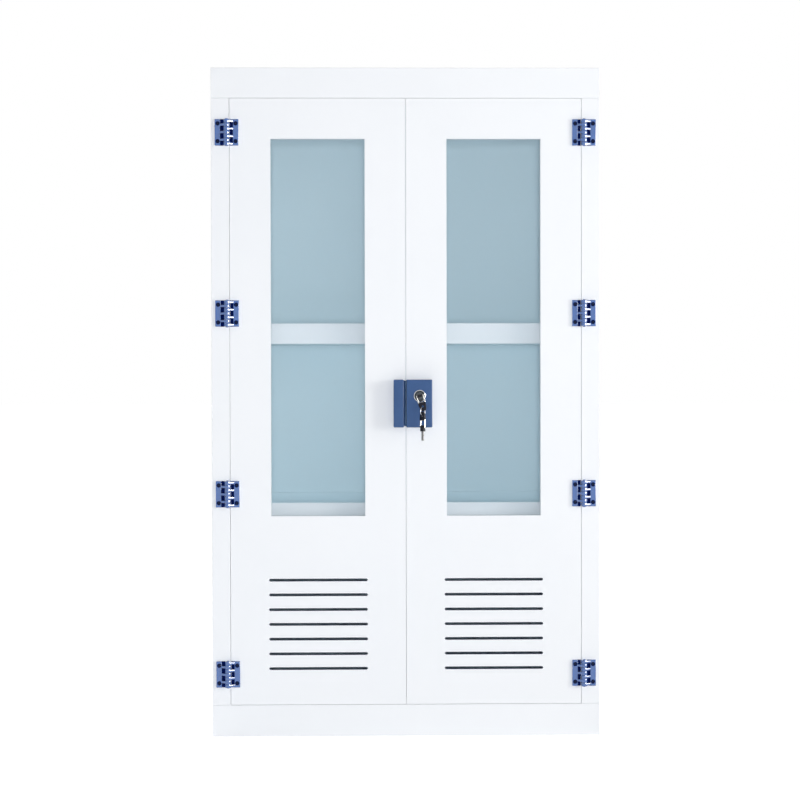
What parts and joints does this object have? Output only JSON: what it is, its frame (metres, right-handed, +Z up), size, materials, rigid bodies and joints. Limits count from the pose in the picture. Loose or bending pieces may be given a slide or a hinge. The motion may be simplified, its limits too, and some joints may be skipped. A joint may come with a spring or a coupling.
{
  "type": "reagent cabinet",
  "caption": "Tall white plastic chemical store with glazed, louvred double doors on blue hinges, a keyed lock with folding keys and lift-out trays.",
  "frame": {"origin": "on the floor, under the middle of the overall box", "axes": "+Z up, -Y out of the doors towards the person who opens them, +X to that person's right"},
  "size_m": [0.9, 0.508, 1.55],
  "materials": {
    "white_sheet": "satin white polypropylene sheet",
    "blue_moulding": "satin blue moulded polypropylene",
    "clear_sheet": "clear rigid sheet with a faint blue-grey tint",
    "steel": "bright nickel-plated steel",
    "chrome": "polished chrome plate",
    "black_moulding": "black moulded plastic"
  },
  "bodies": {
    "carcass": {"side_panel_left": "white_sheet", "side_panel_right": "white_sheet", "back_panel": "white_sheet", "top_panel": "white_sheet", "floor_panel": "white_sheet", "header": "white_sheet", "stile_left": "white_sheet", "stile_right": "white_sheet", "plinth": "white_sheet", "door_post_left": "white_sheet", "door_post_right": "white_sheet", "door_stop_top": "white_sheet", "door_sill": "white_sheet", "bearer_upper_left": "white_sheet", "bearer_upper_right": "white_sheet", "bearer_lower_left": "white_sheet", "bearer_lower_right": "white_sheet", "frame_leaf_left_1": "blue_moulding", "hinge_pin_left_1": "blue_moulding", "frame_leaf_left_2": "blue_moulding", "hinge_pin_left_2": "blue_moulding", "frame_leaf_left_3": "blue_moulding", "hinge_pin_left_3": "blue_moulding", "frame_leaf_left_4": "blue_moulding", "hinge_pin_left_4": "blue_moulding", "frame_leaf_right_1": "blue_moulding", "hinge_pin_right_1": "blue_moulding", "frame_leaf_right_2": "blue_moulding", "hinge_pin_right_2": "blue_moulding", "frame_leaf_right_3": "blue_moulding", "hinge_pin_right_3": "blue_moulding", "frame_leaf_right_4": "blue_moulding", "hinge_pin_right_4": "blue_moulding"},
    "door_left": {"door_skin_left": "white_sheet", "door_frame_left": "white_sheet", "window_pane_left": "clear_sheet", "door_leaf_left_1": "blue_moulding", "door_leaf_left_2": "blue_moulding", "door_leaf_left_3": "blue_moulding", "door_leaf_left_4": "blue_moulding", "lock_keeper": "blue_moulding"},
    "door_right": {"door_skin_right": "white_sheet", "door_frame_right": "white_sheet", "window_pane_right": "clear_sheet", "door_leaf_right_1": "blue_moulding", "door_leaf_right_2": "blue_moulding", "door_leaf_right_3": "blue_moulding", "door_leaf_right_4": "blue_moulding", "lock_case": "blue_moulding", "lock_cylinder": "chrome"},
    "lock_core": {"lock_plug": "steel", "lock_cam": "steel"},
    "key": {"key_shank": "steel"},
    "folding_bow": {"key_bow": "black_moulding"},
    "split_ring": {"key_ring": "steel"},
    "spare_key": {"spare_key_bow": "black_moulding", "spare_key_shank": "steel"},
    "upper_tray": {"tray_upper": "white_sheet"},
    "lower_tray": {"tray_lower": "white_sheet"}
  },
  "joints": [
    {"name": "door_left_hinge", "type": "hinge", "parent": "carcass", "child": "door_left", "pos_m": [-0.4135, -0.20345, 0.0738], "axis": [0, 0, -1], "range_deg": [0, 170]},
    {"name": "door_right_hinge", "type": "hinge", "parent": "carcass", "child": "door_right", "pos_m": [0.4135, -0.20345, 0.0738], "axis": [0, 0, 1], "range_deg": [0, 170]},
    {"name": "lock_turn", "type": "hinge", "parent": "door_right", "child": "lock_core", "pos_m": [0.031, -0.23125, 0.791], "axis": [0, 1, 0], "range_deg": [0, 90]},
    {"name": "key_pull", "type": "slide", "parent": "lock_core", "child": "key", "axis": [0, -1, 0], "range_m": [0, 0.025]},
    {"name": "key_fold", "type": "hinge", "parent": "key", "child": "folding_bow", "pos_m": [0.031, -0.24485, 0.791], "axis": [-0.9659, 0, -0.2588], "range_deg": [0, 90]},
    {"name": "ring_swing", "type": "hinge", "parent": "folding_bow", "child": "split_ring", "pos_m": [0.0375, -0.24485, 0.76576], "axis": [0.8192, -0.5736, 0], "range_deg": [-10, 8]},
    {"name": "spare_swing", "type": "hinge", "parent": "split_ring", "child": "spare_key", "pos_m": [0.0375, -0.24485, 0.74576], "axis": [0.5736, 0.8192, 0], "range_deg": [-15, 15]},
    {"name": "tray_upper_lift", "type": "slide", "parent": "carcass", "child": "upper_tray", "axis": [0, 0, 1], "range_m": [0, 0.03]},
    {"name": "tray_lower_lift", "type": "slide", "parent": "carcass", "child": "lower_tray", "axis": [0, 0, 1], "range_m": [0, 0.03]}
  ]
}
